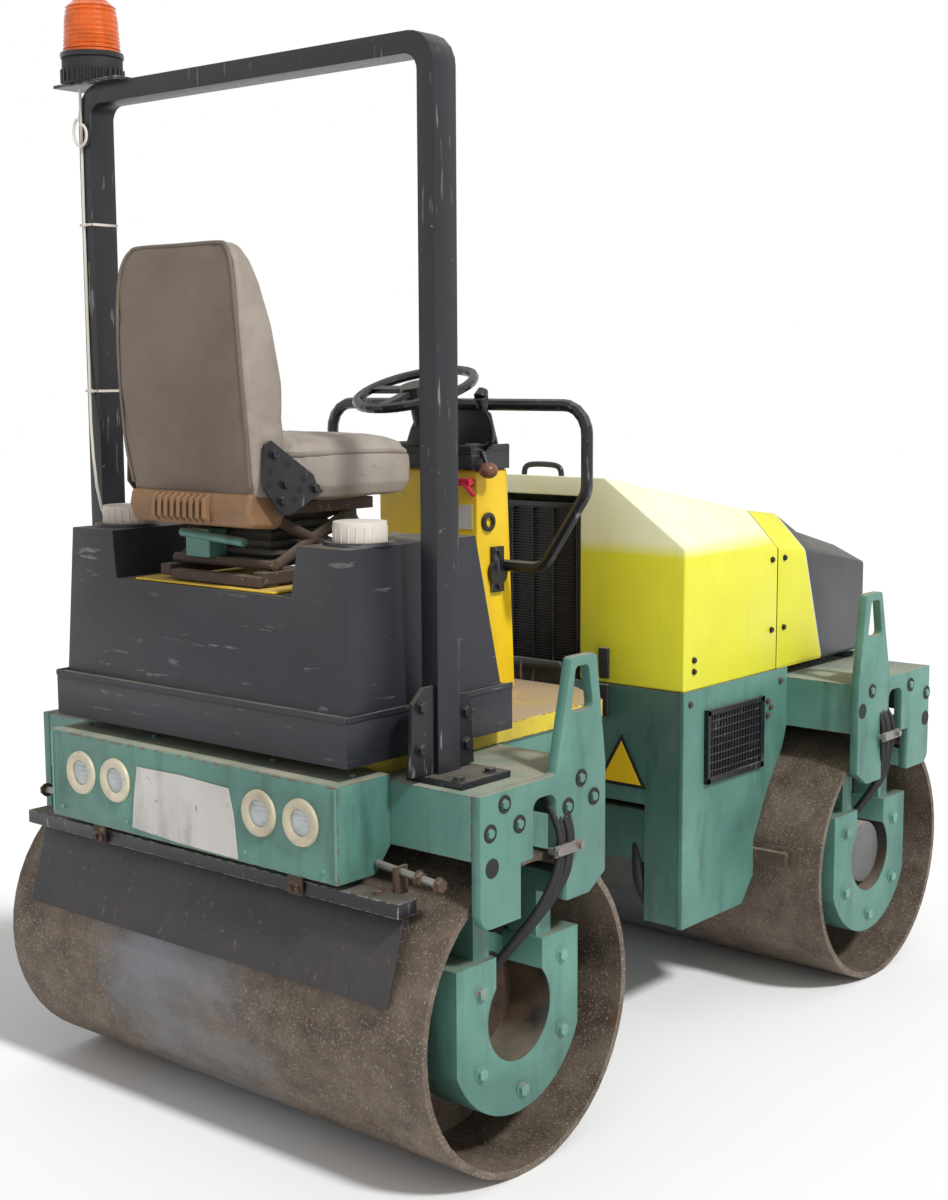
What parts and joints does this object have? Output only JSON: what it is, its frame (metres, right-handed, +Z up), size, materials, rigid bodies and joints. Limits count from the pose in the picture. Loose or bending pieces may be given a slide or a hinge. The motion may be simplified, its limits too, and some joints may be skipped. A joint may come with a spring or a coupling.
{
  "type": "articulated tandem road roller",
  "caption": "Ride-on tandem road roller: smooth steel drum in each half, central articulation, tilting engine hood, roll bar, seat and steering wheel.",
  "frame": {"origin": "on the ground, midway between the drums and on the centre plane, where the articulation's axis meets the ground", "axes": "+X forward, towards the engine; +Y to the left; +Z up"},
  "size_m": [2.374, 1.454, 2.631],
  "materials": {
    "green_paint": "worn semi-gloss paint with chips and dust",
    "lime_paint": "sun-faded moulded shell",
    "yellow_paint": "worn gloss paint",
    "black_paint": "scratched black paint",
    "black_plastic": "scuffed moulded plastic",
    "black_rubber": "dusty rubber",
    "drum_steel": "rolled steel with rust and dried dirt",
    "bare_steel": "greasy machined steel",
    "vinyl": "faded and creased vinyl",
    "white_plastic": "yellowed plastic",
    "amber_glass": "clear amber lens",
    "lamp_glass": "clear lens over a reflector"
  },
  "bodies": {
    "rear_frame": {"rear_deck": "green_paint", "rear_yoke_left": "green_paint", "rear_yoke_right": "green_paint", "rear_drum_hanger_left": "green_paint", "rear_drum_hanger_right": "green_paint", "rear_drum_motor": "bare_steel", "rear_lamp_box": "green_paint", "rear_outer_scraper_bar": "black_paint", "rear_outer_scraper_flap": "black_rubber", "rear_inner_scraper_bar": "drum_steel", "rear_chassis": "green_paint", "rear_lamp_left_outer": "lamp_glass", "rear_lamp_left_inner": "lamp_glass", "rear_lamp_right_inner": "lamp_glass", "rear_lamp_right_outer": "lamp_glass", "operator_platform": "yellow_paint", "kick_plate": "black_paint", "water_tank": "black_plastic", "tank_cap_left": "white_plastic", "tank_cap_right": "white_plastic", "seat_base": "black_paint", "seat_cushion": "vinyl", "seat_back": "vinyl", "rops_frame": "black_paint", "beacon_bracket": "black_paint", "beacon_base": "black_rubber", "beacon_lens": "amber_glass", "beacon_cable": "white_plastic", "steering_console": "yellow_paint", "dashboard": "black_plastic", "dash_shield": "black_plastic", "handrail": "black_paint", "steering_column": "black_plastic"},
    "rear_drum": {"rear_drum": "drum_steel"},
    "knuckle": {"articulation_knuckle": "bare_steel"},
    "front_frame": {"front_deck": "green_paint", "front_yoke_left": "green_paint", "front_yoke_right": "green_paint", "front_drum_hanger_left": "green_paint", "front_drum_hanger_right": "green_paint", "front_drum_motor": "bare_steel", "front_lamp_box": "green_paint", "front_outer_scraper_bar": "black_paint", "front_outer_scraper_flap": "black_rubber", "front_inner_scraper_bar": "drum_steel", "front_chassis": "green_paint", "front_lamp_left": "lamp_glass", "front_lamp_right": "lamp_glass", "engine_block": "black_paint", "radiator": "black_plastic", "side_grille_left": "black_plastic", "side_grille_right": "black_plastic"},
    "front_drum": {"front_drum": "drum_steel"},
    "hood": {"engine_hood": "lime_paint", "hood_nose": "black_plastic"},
    "steering_wheel": {"steering_wheel": "black_plastic"},
    "cylinder_barrel": {"steering_cylinder_barrel": "black_paint"},
    "cylinder_rod": {"steering_cylinder_rod": "bare_steel"}
  },
  "joints": [
    {"name": "rear_drum_roll", "type": "hinge", "parent": "rear_frame", "child": "rear_drum", "pos_m": [-0.813, 0, 0.3565], "axis": [0, 1, 0], "continuous": true},
    {"name": "steer", "type": "hinge", "parent": "rear_frame", "child": "knuckle", "pos_m": [0, 0, 0.51], "axis": [0, 0, 1], "range_deg": [-30, 30]},
    {"name": "oscillation", "type": "hinge", "parent": "knuckle", "child": "front_frame", "pos_m": [0, 0, 0.51], "axis": [1, 0, 0], "range_deg": [-8, 8]},
    {"name": "front_drum_roll", "type": "hinge", "parent": "front_frame", "child": "front_drum", "pos_m": [0.813, 0, 0.3565], "axis": [0, 1, 0], "continuous": true},
    {"name": "hood_tilt", "type": "hinge", "parent": "front_frame", "child": "hood", "pos_m": [1.05, 0, 0.925], "axis": [0, 1, 0], "range_deg": [0, 50]},
    {"name": "wheel_turn", "type": "hinge", "parent": "rear_frame", "child": "steering_wheel", "pos_m": [-0.4, 0, 1.7], "axis": [-0.309, 0, 0.9511], "continuous": true},
    {"name": "cylinder_swing", "type": "hinge", "parent": "rear_frame", "child": "cylinder_barrel", "pos_m": [-0.375, 0.155, 0.47], "axis": [0, 0, 1], "range_deg": [-3, 3]},
    {"name": "rod_slide", "type": "slide", "parent": "cylinder_barrel", "child": "cylinder_rod", "axis": [0.9993, 0.0379, 0], "range_m": [-0.09, 0.09]}
  ],
  "couplings": [
    {"joint": "cylinder_swing", "follows": "steer", "ratio": 0.042},
    {"joint": "rod_slide", "follows": "steer", "m_per_rad": -0.1628}
  ]
}
